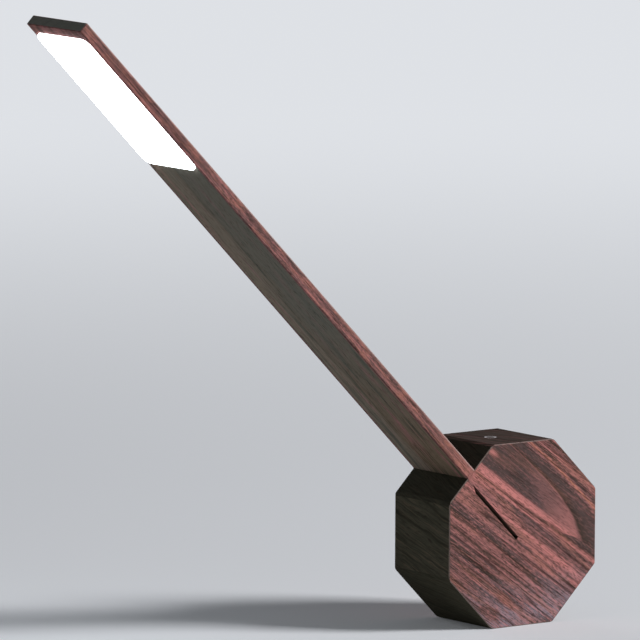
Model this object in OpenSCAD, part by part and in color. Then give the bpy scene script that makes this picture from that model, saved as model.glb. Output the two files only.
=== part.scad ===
// Cordless desk lamp. An octagonal wooden base stands on one of its flats, and a straight flat
// wooden arm plugs square into its upper left side and carries a light panel under its head.
// Units are millimetres. X runs to the right along the front face, Y to the back and Z up.
// The origin is the middle of the flat that the base stands on.

/* [Base] */
// Distance between opposite flats of the octagon
base_flats = 105; // [100:1:130]
// Depth from the front face to the back face
base_depth = 50.6; // [48:0.2:64]
// Thickness of the eight side walls
side_wall = 10.5; // [10:0.5:12]
// Thickness of the front wall
front_wall = 6; // [5.5:0.5:8]
// Flat broken along the outer edges of the base
edge_break = 0.5; // [0.2:0.1:1]

/* [Back cover] */
// Thickness of the back cover
cover_t = 5; // [4.5:0.5:7]
// Width of the housing rim left round the back cover
cover_rim = 3.5; // [3:0.5:4.5]
// Gap between the back cover and the rim
cover_gap = 0.15; // [0.1:0.05:0.3]
// Shank diameter of the cover screws
cover_screw_d = 2.9; // [2.5:0.1:3.5]
// Length of the cover screws
cover_screw_len = 16; // [12:1:22]

/* [Arm slot] */
// Depth of the slot from its mouth to its square end
slot_depth = 51.2; // [46:0.2:54]
// Running gap above the arm, beside its key and under it at the mouth
slot_gap = 0.05; // [0.05:0.05:0.2]
// Length of the close lip under the arm at the mouth
lip_len = 5; // [3:0.5:7]
// Length of the ramp from the lip down to the open part of the slot
ramp_len = 5; // [3:0.5:7]
// How far the slot opens below the arm inside the ramp
slot_relief = 2.3; // [1.8:0.1:3]
// Wall of the moulded socket inside the base
socket_wall = 2.4; // [2:0.2:3]
// Width of the key that keeps the arm from moving sideways
key_w = 5; // [3:0.5:8]
// Height of the key above the socket wall
key_h = 0.8; // [0.6:0.1:1.2]
// Thickness of the leaf spring under the arm
leaf_t = 0.4; // [0.3:0.1:0.6]
// Width of the leaf spring
leaf_w = 8; // [6:0.5:12]

/* [Arm] */
// Length of the arm from the mouth of the slot to its tip
arm_reach = 380; // [300:5:420]
// Thickness of the arm
arm_t = 6.5; // [6.2:0.1:8]
// How far each edge of the arm sits inside the face of the base
arm_inset = 0.05; // [0.05:0.05:0.4]
// Wood left above the pocket of the arm
top_skin = 2.2; // [2:0.1:2.6]
// Width of the strip beside the underside panel
edge_strip = 1.6; // [1.2:0.1:3]
// Width of the ledge that carries the panel and the diffuser
ledge_w = 2.2; // [1.8:0.1:3]
// Thickness of the underside panel
panel_t = 1.8; // [1.5:0.1:2.2]
// Gap between the end of the arm and the end of the slot
end_gap = 0.05; // [0.05:0.05:0.4]
// Flat broken along the edges of the arm outside the slot
arm_break = 0.4; // [0.1:0.1:0.6]
// Thickness of the aluminium core in the arm
core_t = 1; // [0.8:0.1:1.4]
// Width of the core below the light panel
spine_w = 20; // [16:1:30]

/* [Light panel] */
// Length of the diffuser along the arm
lens_len = 107.6; // [80:0.2:130]
// Wood left between the diffuser and the tip of the arm
lens_margin = 7; // [5:0.5:12]
// Corner radius of the diffuser
lens_corner = 5; // [3:0.5:8]
// How far the diffuser stands below the underside of the arm
lens_proud = 1.4; // [1:0.1:2]
// Thickness of the diffuser's face
lens_t = 1.5; // [1.2:0.1:1.8]
// Rows of light chips across the arm
led_rows = 3; // [2:1:4]
// Light chips in each row
led_columns = 12; // [8:1:16]

/* [Power] */
// Length of a battery cell
cell_len = 28; // [22:1:30]
// Width of a battery cell
cell_w = 18; // [14:1:20]
// Thickness of a battery cell
cell_t = 9; // [7:0.5:10]
// Number of cells in the stack
cell_count = 3; // [1:1:3]
// Width of the main board
board_w = 24; // [23:1:28]
// Height of the main board
board_h = 18; // [16:1:20]
// Height of the posts that carry the main board
post_h = 5.5; // [5:0.5:7]
// Room for the leads between the contact block and the ballast
lead_room = 2.6; // [2.2:0.1:4]
// Diameter of the leads
lead_d = 1.2; // [0.8:0.1:1.6]

/* [Controls] */
// Outer diameter of the touch ring on the top
touch_ring_d = 7; // [6:0.5:12]
// Distance of the touch ring from the middle of the top, towards the arm
touch_offset = 4; // [0:0.5:6]
// Width of the touch ring
touch_ring_w = 1; // [0.6:0.1:1.5]
// Wood left above the touch electrode
touch_skin = 2.5; // [1.5:0.1:4]
// Travel of the power switch
switch_travel = 2; // [1.5:0.1:2.5]
// Travel of the sprung contact pins
pin_travel = 0.7; // [0.4:0.1:0.8]
// Diameter of a contact pin
pin_d = 1.5; // [1:0.1:1.6]

/* [Hidden] */
$fn = 64;

// Colours of the finishes
wood_front = "#8c5b50";
wood_arm = "#85584d";
wood_panel = "#6f5a50";
black_abs = "#1d1d1f";
steel = "#8d9095";
brass = "#c2a25a";
copper = "#b87349";
aluminium = "#b9bcc0";
board_green = "#1f5a3c";
white_acrylic = "#f4f7f8";
grey_foil = "#9aa0a6";
red_pvc = "#8e2f2a";

// Clearances
over = 1;
seat_gap = 0.2;
hole_gap = 0.05;
slide_gap = 0.3;
touch_gap = 0.15;
inner_gap = 0.8;

// Planes of the base, seen from its centre
sides = 8;
arm_tilt = 360 / sides;
centre_z = base_flats / 2;
front_y = base_depth / 2;
back_y = -base_depth / 2;
wall_y = front_y - front_wall;
cover_y = back_y + cover_t;
cavity_flats = base_flats - 2 * side_wall;
seat_flats = base_flats - 2 * cover_rim;
cover_flats = seat_flats - 2 * cover_gap;
cover_head_d = 1.8 * cover_screw_d;
cover_land = 0.8;

// Places along the arm, from the centre of the base
mouth_x = base_flats / 2;
slot_end_x = mouth_x - slot_depth;
heel_x = slot_end_x + end_gap;
tip_x = mouth_x + arm_reach;
lens_x1 = tip_x - lens_margin;
lens_x0 = lens_x1 - lens_len;
lens_x = (lens_x0 + lens_x1) / 2;

// Heights square to the arm
arm_top = arm_t / 2;
slot_top = arm_top + slot_gap;
slot_low = slot_top + slot_relief;
roof_z = arm_top - top_skin;
ledge_z = -arm_top + panel_t;
core_z = roof_z - core_t;

// Widths across the arm
arm_w = base_depth - 2 * arm_inset;
rebate_w = arm_w - 2 * edge_strip;
pocket_w = rebate_w - 2 * ledge_w;
panel_w = rebate_w - 2 * touch_gap;
lens_w = rebate_w - 2 * touch_gap;

// Socket and its fixings
socket_x0 = slot_end_x - socket_wall;
socket_x1 = mouth_x - side_wall - seat_gap;
socket_top = slot_top + socket_wall;
socket_low = slot_low + socket_wall;
groove_end = mouth_x - side_wall + over;
ear_w = 9;
ear_t = 3;
ear_x = [socket_x0 + ear_w / 2, socket_x1 - ear_w];
ear_hole_z = socket_top + ear_w / 2;
peg_d = 3;
peg_len = 3;
peg_x = socket_x1 - peg_d;
peg_z = -(socket_low + peg_d);

// Leaf spring, in the frame of the slot's floor under the arm
leaf_x0 = 2;
leaf_foot = 6;
leaf_span = 18;
leaf_crest_x = leaf_x0 + leaf_foot + leaf_span / 2;
leaf_crest = slot_low - arm_top - slide_gap;
leaf_rise = leaf_crest - leaf_t;
leaf_r = (pow(leaf_span / 2, 2) + pow(leaf_rise, 2)) / (2 * leaf_rise);
stake_d = 1.6;
stake_x = leaf_x0 + leaf_foot / 2;

// Contacts between the base and the arm
heel_recess = 0.8;
heel_len = 8;
heel_h = roof_z - ledge_z;
pin_z = (roof_z + ledge_z) / 2;
pin_y = 5;
pin_tip_x = heel_x + heel_recess - touch_gap;
collar_step = 0.45;
collar_d = pin_d + 2 * collar_step;
collar_len = 1.5;
tail_d = pin_d - slide_gap;
tail_len = 2;
block_len = 8;
block_w = 18;
block_h = 8;
block_x0 = socket_x0 - block_len;
coil_room = 1.5;
pin_bore = collar_len + tail_len + pin_travel + coil_room;
cheek_t = 1.6;
pad_w = 5;
pad_t = 0.6;
strip_w = 3;
strip_t = 0.4;

// Ballast, set behind the contacts on the side away from the arm
ballast_x1 = block_x0 - lead_room;
ballast_flats = cavity_flats - 2 * seat_gap;
ballast_depth = wall_y - cover_y - seat_gap;
ballast_break = 2;
ballast_screw_d = 4;
ballast_head_h = ballast_screw_d * 0.6;
ballast_hole_x = -(ballast_flats / 2 - ballast_x1) / 2;
ballast_hole_z = ballast_flats / 4;
lead_x = ballast_x1 + lead_room / 2;
lead_y = block_w / 2 + cheek_t + 2 * lead_d;
lead_step = 3;
wire_sides = 8;
bend_reach = 0.4 * lead_room;
// A direction that no lead runs along
skew = [1, 2, 3];

// Screws that hold the inner pieces to the front wall
small_screw_d = 2.5;
small_head_d = 4.6;
small_head_h = 1.6;
recess_share = 0.6;
pilot_depth = 4;

// Battery tray below the socket
tray_wall = 1.6;
cell_gap = 0.2;
tray_len = cell_len + 2 * (tray_wall + cell_gap);
tray_h = cell_w + 2 * (tray_wall + cell_gap);
lug_t = 0.9;
tray_depth = tray_wall + cell_count * (cell_t + cell_gap) + lug_t;
tray_x0 = ballast_x1 + lead_room;
tray_z1 = -socket_low - inner_gap;
tray_x = tray_x0 + tray_len / 2;
tray_z = tray_z1 - tray_h / 2;
tray_ear = 7.5;

// Main board on the back cover, in the upright frame
apex_z = (socket_top + ballast_x1 + 2 * inner_gap) / sqrt(2);
apex_x = -(socket_top - ballast_x1) / sqrt(2);
board_t = 1.6;
board_x = apex_x;
board_z = apex_z + board_w / 2 + board_h / 2;
board_y = cover_y + post_h;
board_face_y = board_y + board_t;
post_d = 4.4;
board_screw_d = 2;
board_head_h = 1.2;
post_inset = 2.6;
cover_pilot = 3;
controller_w = 5;
controller_h = 1;
coil_w = 5;
coil_h = 2.8;
capacitor_d = 4;
capacitor_h = 5.4;

// Charging inlet
usb_w = 8.9;
usb_h = 3.2;
usb_wall = 0.3;
usb_recess = 0.8;
usb_tongue_w = 6.6;
usb_tongue_h = 0.7;
usb_foot = 2;
usb_x = board_x + board_w / 4;

// Power switch
switch_w = 9;
switch_h = 4;
switch_deep = 4;
switch_x = board_x - board_w / 4;
stem = 2.4;
cap_w = 7;
cap_h = 4.6;
cap_t = 1.8;
cap_gap = 0.2;
switch_off_x = -switch_travel / 2;

// Touch switch
touch_h = 0.6;
electrode_margin = 2;
electrode_d = touch_ring_d + 2 * electrode_margin;
electrode_t = 0.4;

// Light panel
led_board_t = 1;
led_board_len = lens_len - 2 * (ledge_w + inner_gap);
led_board_w = pocket_w - 2 * slide_gap;
led_board_z = core_z - led_board_t;
film_t = 0.25;
chip_len = 3.5;
chip_w = 2.8;
chip_h = 0.7;
chip_margin = 5;
chip_step_x = (led_board_len - 2 * chip_margin) / (led_columns - 1);
chip_step_y = (led_board_w - 2 * chip_margin) / (led_rows - 1);
skirt_t = 1;
lens_z = -arm_top - lens_proud;
lens_break = 0.5;
lens_facets = 32;

// Frames

// X runs up the arm from the centre of the base, Y to the front, Z to the upper side of the arm
module along_arm() {
    translate([0, 0, centre_z])
        rotate([0, arm_tilt, 0])
            rotate([0, 0, 180])
                children();
}

// X runs to the right as seen from behind, Y to the front, Z up, from the centre of the base
module upright() {
    translate([0, 0, centre_z])
        rotate([0, 0, 180])
            children();
}

// On the floor of the slot under the arm, from its inner end to the mouth
module on_slot_floor() {
    along_arm()
        translate([slot_end_x, 0, -slot_low])
            children();
}

// Extrudes an outline drawn in X and Z through the depth of the base
module across(y0, y1) {
    translate([0, y1, 0])
        rotate([90, 0, 0])
            linear_extrude(y1 - y0)
                children();
}

// Extrudes a section drawn in Y and Z along the arm
module along_x(x0, x1) {
    translate([x0, 0, 0])
        rotate([90, 0, 90])
            linear_extrude(x1 - x0)
                children();
}

// Extrudes an outline drawn in X and Y square to the arm
module square_to_arm(z0, z1) {
    translate([0, 0, z0])
        linear_extrude(z1 - z0)
            children();
}

// Outlines

module octagon(flats) {
    rotate(180 / sides)
        circle(d = flats / cos(180 / sides), $fn = sides);
}

// An octagon whose corners are broken by a small flat
module broken_octagon(flats, cut) {
    intersection() {
        octagon(flats);
        rotate(180 / sides)
            octagon(flats / cos(180 / sides) - 2 * cut);
    }
}

// A rectangle whose corners are broken by a small flat
module broken_rect(w, h, cut) {
    intersection() {
        square([w, h], center = true);
        rotate(45)
            square((w + h - 2 * cut) / sqrt(2), center = true);
    }
}

// A rectangle with round corners
module round_rect(w, h, r) {
    square([w - 2 * r, h], center = true);
    square([w, h - 2 * r], center = true);
    for (sx = [-1, 1], sy = [-1, 1])
        translate([sx * (w / 2 - r), sy * (h / 2 - r)])
            circle(r);
}

// A slot outline with round ends
module stadium(w, h) {
    square([w - h, h], center = true);
    for (s = [-1, 1])
        translate([s * (w - h) / 2, 0])
            circle(d = h);
}

// The slot: a flat upper wall, a close lip at the mouth, and a ramp down to an open floor inside
module slot_outline() {
    polygon([
        [mouth_x + over, slot_top],
        [slot_end_x, slot_top],
        [slot_end_x, -slot_low],
        [mouth_x - lip_len - ramp_len, -slot_low],
        [mouth_x - lip_len, -slot_top],
        [mouth_x + over, -slot_top]
    ]);
}

// Small shapes that repeat

// Bars that break the edges round one face of an octagonal block
module face_edge_cuts(flats, y, cut) {
    for (i = [0 : sides - 1])
        rotate([0, i * 360 / sides, 0])
            translate([flats / 2, y, 0])
                rotate([0, 0, 45])
                    cube([cut * sqrt(2), cut * sqrt(2), flats / 2], center = true);
}

// The cross recess of a screw head, cut down into the head from z = 0
module cross_recess(d, deep) {
    for (turn = [0, 90])
        rotate(turn)
            translate([-d / 2, -d / 8, 0])
                cube([d, d / 4, deep + over]);
}

// A pan head screw: the head seats at z = 0 and the shank runs to z = len
module pan_screw(d, head_d, head_h, len) {
    difference() {
        union() {
            cylinder(d = d, h = len);
            translate([0, 0, -head_h])
                cylinder(d = head_d, h = head_h);
        }
        translate([0, 0, -head_h - over])
            cross_recess(head_d * recess_share, head_h / 2);
    }
}

// A countersunk screw: the head is flush at z = 0 and the point is at z = len
module flat_screw(d, head_d, len) {
    difference() {
        union() {
            cylinder(d = d, h = len);
            cylinder(d1 = head_d, d2 = d, h = d / 2);
        }
        translate([0, 0, -over])
            cross_recess(head_d * recess_share, d / 3);
    }
}

// A round wire swept along straight runs that are joined by eased bends
module wire(points, d) {
    path = [for (i = [0 : len(points) - 1]) each eased_bend(points, i)];
    last = len(path) - 1;
    ring_points = [for (i = [0 : last]) each wire_ring(path[i], heading(path, i), d / 2)];
    side_faces = [
        for (i = [0 : last - 1], k = [0 : wire_sides - 1])
            let (a = i * wire_sides, next = (k + 1) % wire_sides)
                each [
                    [a + k, a + wire_sides + k, a + next],
                    [a + next, a + wire_sides + k, a + wire_sides + next]
                ]
    ];
    start_face = [for (k = [0 : wire_sides - 1]) k];
    end_face = [for (k = [wire_sides - 1 : -1 : 0]) last * wire_sides + k];
    polyhedron(ring_points, concat(side_faces, [start_face], [end_face]));
}

function unit(v) = v / norm(v);

// A point of the route, or three points that ease the bend there
function eased_bend(p, i) =
    i == 0 || i == len(p) - 1 ? [p[i]] :
    let (
        before = p[i] + bend_reach * unit(p[i - 1] - p[i]),
        after = p[i] + bend_reach * unit(p[i + 1] - p[i])
    )
    [before, (before + 2 * p[i] + after) / 4, after];

// The direction of the wire at a point of its path
function heading(path, i) = unit(
    (i > 0 ? unit(path[i] - path[i - 1]) : [0, 0, 0]) +
    (i < len(path) - 1 ? unit(path[i + 1] - path[i]) : [0, 0, 0])
);

// A ring of points round the wire, square to its heading
function wire_ring(centre, along, r) =
    let (a = unit(cross(skew, along)), b = cross(along, a))
    [for (k = [0 : wire_sides - 1])
        let (turn = 360 * k / wire_sides)
            centre + r * (cos(turn) * a + sin(turn) * b)];

// Places that several pieces share

// Four corners of the octagon, a head's width inside the edge of the back cover
module at_cover_screws() {
    reach = (cover_flats / 2 - cover_head_d / 2 - cover_land) / cos(180 / sides);
    for (i = [0 : 2 : sides - 1])
        rotate([0, (i + 0.5) * 360 / sides, 0])
            translate([reach, back_y, 0])
                rotate([-90, 0, 0])
                    children();
}

module at_socket_screws() {
    for (x = ear_x)
        translate([x, wall_y - ear_t, ear_hole_z])
            rotate([-90, 0, 0])
                children();
}

module at_tray_screws() {
    for (p = [[tray_x, tray_z - (tray_h + tray_ear) / 2], [tray_x + (tray_len + tray_ear) / 2, tray_z]])
        translate([p.x, wall_y - ear_t, p.y])
            rotate([-90, 0, 0])
                children();
}

module at_ballast_screws() {
    for (s = [-1, 1])
        translate([ballast_hole_x, wall_y - ballast_depth, s * ballast_hole_z])
            rotate([-90, 0, 0])
                children();
}

module at_board_posts() {
    for (sx = [-1, 1], sz = [-1, 1])
        translate([
            board_x + sx * (board_w / 2 - post_inset),
            board_face_y,
            board_z + sz * (board_h / 2 - post_inset)
        ])
            rotate([90, 0, 0])
                children();
}

// The middle of the touch ring, in the plane of the top
module at_touch_ring() {
    upright()
        translate([touch_offset, 0, base_flats / 2])
            children();
}

module at_pins() {
    for (s = [-1, 1])
        translate([0, s * pin_y, pin_z])
            children();
}

// Base

module base_housing() {
    color(wood_front)
        difference() {
            along_arm()
                across(back_y, front_y)
                    broken_octagon(base_flats, edge_break);
            along_arm()
                housing_cuts();
            at_touch_ring()
                touch_cuts();
        }
}

module housing_cuts() {
    face_edge_cuts(base_flats, front_y, edge_break);
    face_edge_cuts(base_flats, back_y, edge_break);
    across(back_y - over, wall_y)
        octagon(cavity_flats);
    across(back_y - over, cover_y)
        octagon(seat_flats);
    across(back_y - over, front_y + over)
        slot_outline();
    at_cover_screws()
        cylinder(d = cover_screw_d + 2 * hole_gap, h = cover_screw_len + over);
    at_socket_screws()
        cylinder(d = small_screw_d + 2 * hole_gap, h = ear_t + pilot_depth);
    at_tray_screws()
        cylinder(d = small_screw_d + 2 * hole_gap, h = ear_t + pilot_depth);
    at_ballast_screws()
        cylinder(d = ballast_screw_d + 2 * hole_gap, h = ballast_depth + pilot_depth);
    translate([peg_x, wall_y - over, peg_z])
        rotate([-90, 0, 0])
            cylinder(d = peg_d + 2 * hole_gap, h = peg_len + hole_gap + over);
}

module touch_cuts() {
    translate([0, 0, -side_wall - over])
        cylinder(d = electrode_d + 2 * seat_gap, h = side_wall - touch_skin + over);
    translate([0, 0, -touch_h])
        difference() {
            cylinder(d = touch_ring_d + 2 * hole_gap, h = touch_h + over);
            translate([0, 0, -over])
                cylinder(d = touch_ring_d - 2 * touch_ring_w - 2 * hole_gap, h = touch_h + 3 * over);
        }
}

module back_cover() {
    color(wood_front)
        difference() {
            along_arm()
                across(back_y, cover_y)
                    octagon(cover_flats);
            along_arm()
                cover_cuts();
            upright()
                control_cuts();
        }
}

module cover_cuts() {
    face_edge_cuts(cover_flats, back_y, edge_break);
    across(back_y - over, cover_y + over)
        slot_outline();
    at_cover_screws() {
        translate([0, 0, -over])
            cylinder(d = cover_screw_d + 4 * hole_gap, h = cover_t + 2 * over);
        translate([0, 0, -over])
            cylinder(d = cover_head_d + 2 * hole_gap, h = over + hole_gap);
        translate([0, 0, hole_gap])
            cylinder(
                d1 = cover_head_d + 2 * hole_gap,
                d2 = cover_screw_d + 2 * hole_gap,
                h = cover_screw_d / 2
            );
    }
}

module control_cuts() {
    across(back_y - over, cover_y + over)
        translate([usb_x, board_z])
            stadium(usb_w + 2 * seat_gap, usb_h + 2 * seat_gap);
    across(back_y - over, back_y + cap_t + cap_gap)
        translate([switch_x, board_z])
            square([cap_w + switch_travel + 2 * slide_gap, cap_h + 2 * slide_gap], center = true);
    across(back_y - over, cover_y + over)
        translate([switch_x, board_z])
            square([stem + switch_travel + 2 * slide_gap, stem + 2 * slide_gap], center = true);
    at_board_posts()
        cylinder(d = board_screw_d + 2 * hole_gap, h = board_t + post_h + cover_pilot);
}

module cover_screws() {
    color(steel)
        along_arm()
            at_cover_screws()
                translate([0, 0, hole_gap])
                    flat_screw(cover_screw_d, cover_head_d, cover_screw_len);
}

module arm_socket() {
    color(black_abs) {
        along_arm()
            difference() {
                union() {
                    across(cover_y + seat_gap, wall_y)
                        socket_outline();
                    socket_ears();
                    socket_cheeks();
                }
                across(cover_y, wall_y + over)
                    slot_outline();
                at_socket_screws()
                    translate([0, 0, -over])
                        cylinder(d = small_screw_d + 4 * hole_gap, h = ear_t + 2 * over);
                at_pins()
                    translate([socket_x0 - over, 0, 0])
                        rotate([0, 90, 0])
                            cylinder(d = pin_d + 2 * hole_gap, h = socket_wall + 2 * over);
            }
        along_arm()
            translate([slot_end_x, -key_w / 2, slot_top - key_h])
                cube([socket_x1 - slot_end_x, key_w, key_h + socket_wall / 2]);
        along_arm()
            translate([peg_x, wall_y - over, peg_z])
                rotate([-90, 0, 0])
                    cylinder(d = peg_d, h = peg_len + over);
        on_slot_floor()
            translate([stake_x, 0, -socket_wall / 2])
                cylinder(d = stake_d, h = socket_wall / 2 + leaf_t);
    }
}

module socket_outline() {
    translate([socket_x0, -socket_low])
        square([socket_x1 - socket_x0, socket_low + socket_top]);
}

// Ears against the front wall, two with a screw above the slot and one with a peg below it
module socket_ears() {
    for (x = ear_x)
        translate([x - ear_w / 2, wall_y - ear_t, slot_top + socket_wall / 2])
            cube([ear_w, ear_t, ear_w + socket_wall / 2]);
    translate([peg_x - peg_d, wall_y - ear_t, -socket_low - 2 * peg_d])
        cube([2 * peg_d, ear_t, 2 * peg_d + socket_wall / 2]);
}

// Two cheeks behind the end wall that hold the contact block between them
module socket_cheeks() {
    for (s = [-1, 1])
        translate([block_x0, s * (block_w / 2 + hole_gap + cheek_t / 2) - cheek_t / 2, pin_z - block_h / 2])
            cube([block_len + socket_wall, cheek_t, block_h]);
}

module socket_screws() {
    color(steel)
        along_arm()
            at_socket_screws()
                pan_screw(small_screw_d, small_head_d, small_head_h, ear_t + pilot_depth - seat_gap);
}

// A leaf with a flat foot staked to the socket and an arched stretch that presses up on the arm
module retaining_spring() {
    color(steel)
        on_slot_floor()
            difference() {
                across(-leaf_w / 2, leaf_w / 2)
                    leaf_outline();
                translate([stake_x, 0, -over])
                    cylinder(d = stake_d + 2 * hole_gap, h = leaf_t + 2 * over);
            }
}

module leaf_outline() {
    translate([leaf_x0, 0])
        square([leaf_foot, leaf_t]);
    intersection() {
        translate([leaf_crest_x, leaf_rise - leaf_r])
            difference() {
                circle(leaf_r + leaf_t, $fn = 180);
                circle(leaf_r, $fn = 180);
            }
        translate([leaf_x0 + leaf_foot / 2, 0])
            square([leaf_foot + 2 * leaf_span, leaf_crest + over]);
    }
}

module contact_block() {
    color(black_abs)
        along_arm()
            difference() {
                translate([block_x0, -block_w / 2, pin_z - block_h / 2])
                    cube([block_len, block_w, block_h]);
                at_pins()
                    translate([socket_x0 - pin_bore, 0, 0])
                        rotate([0, 90, 0])
                            cylinder(d = collar_d + 2 * hole_gap, h = pin_bore + over);
            }
}

// A plunger with a round nose, a collar that stops behind the socket's end wall, and a tail
module contact_pin(s) {
    collar_x = socket_x0 - touch_gap;
    color(brass)
        along_arm()
            translate([0, s * pin_y, pin_z])
                rotate([0, 90, 0]) {
                    translate([0, 0, collar_x - collar_len - tail_len])
                        cylinder(d = tail_d, h = tail_len + collar_len);
                    translate([0, 0, collar_x - collar_len])
                        cylinder(d = collar_d, h = collar_len);
                    translate([0, 0, collar_x - collar_len])
                        cylinder(d = pin_d, h = pin_tip_x - pin_d / 2 - collar_x + collar_len);
                    translate([0, 0, pin_tip_x - pin_d / 2])
                        sphere(d = pin_d);
                }
}

module front_contact_pin() {
    contact_pin(1);
}

module rear_contact_pin() {
    contact_pin(-1);
}

// A steel block that fills the side of the base away from the arm
module ballast_weight() {
    color(steel)
        along_arm()
            difference() {
                across(wall_y - ballast_depth, wall_y)
                    intersection() {
                        broken_octagon(ballast_flats, ballast_break);
                        translate([-base_flats, -base_flats])
                            square([base_flats + ballast_x1, 2 * base_flats]);
                    }
                at_ballast_screws()
                    translate([0, 0, -over]) {
                        cylinder(d = ballast_screw_d + 4 * hole_gap, h = ballast_depth + 2 * over);
                        cylinder(d = 2 * ballast_screw_d + 4 * hole_gap, h = ballast_head_h + over);
                    }
            }
}

module ballast_screws() {
    color(steel)
        along_arm()
            at_ballast_screws()
                translate([0, 0, ballast_head_h])
                    pan_screw(ballast_screw_d, 2 * ballast_screw_d, ballast_head_h, ballast_depth);
}

// An open tray for the cell stack, with two screw ears and two lugs that keep the cells in
module battery_tray() {
    color(black_abs)
        along_arm()
            difference() {
                union() {
                    across(wall_y - tray_depth, wall_y)
                        translate([tray_x, tray_z])
                            square([tray_len, tray_h], center = true);
                    at_tray_screws()
                        translate([-tray_ear / 2, -tray_ear / 2, 0])
                            cube([tray_ear, tray_ear, ear_t]);
                }
                difference() {
                    across(wall_y - tray_depth - over, wall_y - tray_wall)
                        translate([tray_x, tray_z])
                            square([tray_len - 2 * tray_wall, tray_h - 2 * tray_wall], center = true);
                    tray_lugs();
                }
                at_tray_screws()
                    translate([0, 0, -over])
                        cylinder(d = small_screw_d + 4 * hole_gap, h = ear_t + 2 * over);
                lead_notch();
            }
}

module tray_lugs() {
    for (s = [-1, 1])
        translate([tray_x, wall_y - tray_depth + lug_t / 2, tray_z + s * (tray_h / 2 - tray_wall)])
            cube([cell_len / 4, lug_t, 2 * lug_t], center = true);
}

// A notch in the end wall of the tray, where the battery leads come out
module lead_notch() {
    notch_h = 8 * lead_d;
    translate([tray_x0 - over, wall_y - tray_depth - over, tray_z - notch_h / 2])
        cube([tray_wall + 2 * over, tray_depth - tray_wall, notch_h]);
}

// Flat cells stacked through the depth of the base
module battery_cells() {
    color(grey_foil)
        along_arm()
            for (i = [0 : cell_count - 1]) {
                y1 = wall_y - tray_wall - i * (cell_t + cell_gap);
                across(y1 - cell_t, y1)
                    translate([tray_x, tray_z])
                        round_rect(cell_len, cell_w, cell_t / 4);
            }
}

module tray_screws() {
    color(steel)
        along_arm()
            at_tray_screws()
                pan_screw(small_screw_d, small_head_d, small_head_h, ear_t + pilot_depth - seat_gap);
}

module main_board() {
    color(board_green)
        upright()
            difference() {
                across(board_y, board_face_y)
                    translate([board_x, board_z])
                        square([board_w, board_h], center = true);
                at_board_posts()
                    translate([0, 0, -over])
                        cylinder(d = board_screw_d + 4 * hole_gap, h = board_t + 2 * over);
            }
}

// Charge controller, coil, capacitor and driver on the open face of the board
module board_components() {
    color(black_abs)
        upright()
            translate([board_x, board_face_y, board_z])
                rotate([-90, 0, 0]) {
                    translate([-board_w / 6, 0, 0])
                        linear_extrude(controller_h)
                            square(controller_w, center = true);
                    translate([board_w / 6, 0, 0])
                        linear_extrude(coil_h)
                            round_rect(coil_w, coil_w, coil_w / 5);
                    translate([-board_w / 6, -board_h / 3, 0])
                        cylinder(d = capacitor_d, h = capacitor_h);
                }
}

module board_posts() {
    color(brass)
        upright()
            at_board_posts()
                translate([0, 0, board_t])
                    difference() {
                        cylinder(d = post_d, h = post_h);
                        translate([0, 0, -over])
                            cylinder(d = board_screw_d + 2 * hole_gap, h = post_h + 2 * over);
                    }
}

module board_screws() {
    color(steel)
        upright()
            at_board_posts()
                pan_screw(board_screw_d, 2 * board_screw_d, board_head_h,
                          board_t + post_h + cover_pilot - seat_gap);
}

// A sheet metal shell with a closed foot on the board and a contact tongue inside
module usb_inlet() {
    color(aluminium)
        upright()
            translate([usb_x, 0, board_z]) {
                across(back_y + usb_recess, board_y)
                    difference() {
                        stadium(usb_w, usb_h);
                        stadium(usb_w - 2 * usb_wall, usb_h - 2 * usb_wall);
                    }
                across(board_y - usb_foot, board_y)
                    stadium(usb_w, usb_h);
                across(back_y + 2 * usb_recess, board_y - usb_foot / 2)
                    square([usb_tongue_w, usb_tongue_h], center = true);
            }
}

module switch_body() {
    color(black_abs)
        upright()
            translate([switch_x, 0, board_z])
                difference() {
                    across(board_y - switch_deep, board_y)
                        square([switch_w, switch_h], center = true);
                    across(board_y - switch_deep - over, board_y - switch_deep / 2)
                        square([stem + switch_travel + 2 * slide_gap, stem + 2 * slide_gap], center = true);
                }
}

// A ribbed finger cap in the back cover, with a stem that reaches into the switch
module switch_slider() {
    cap_y0 = back_y + cap_gap;
    ribs = 3;
    rib_step = cap_w / (ribs + 1);
    color(black_abs)
        upright()
            translate([switch_x + switch_off_x, 0, board_z])
                difference() {
                    union() {
                        across(cap_y0, back_y + cap_t)
                            square([cap_w, cap_h], center = true);
                        across(cap_y0 + cap_t / 2, board_y - switch_deep / 2 - slide_gap)
                            square(stem, center = true);
                    }
                    for (i = [1 : ribs])
                        across(cap_y0 - over, cap_y0 + cap_t / 4)
                            translate([i * rib_step - cap_w / 2, 0])
                                square([rib_step / 2, cap_h + over], center = true);
                }
}

module touch_ring() {
    color(aluminium)
        at_touch_ring()
            translate([0, 0, -touch_h])
                difference() {
                    cylinder(d = touch_ring_d, h = touch_h);
                    translate([0, 0, -over])
                        cylinder(d = touch_ring_d - 2 * touch_ring_w, h = touch_h + 2 * over);
                }
}

// A copper disc glued under the thinned top wall
module touch_pad() {
    color(copper)
        at_touch_ring()
            translate([0, 0, -touch_skin - electrode_t])
                cylinder(d = electrode_d, h = electrode_t);
}

// Leads

// The lead drops from the electrode and turns into the open face of the board
module touch_lead() {
    pad_z = base_flats / 2 - touch_skin - electrode_t;
    drop_z = cavity_flats / 2 - 2 * lead_d;
    end_x = board_x + board_w / 6;
    end_z = board_z + board_h / 2 - post_inset;
    color(red_pvc)
        upright()
            wire([
                [touch_offset, 0, pad_z],
                [touch_offset, 0, drop_z],
                [end_x, 0, end_z],
                [end_x, board_face_y, end_z]
            ], lead_d);
}

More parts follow.
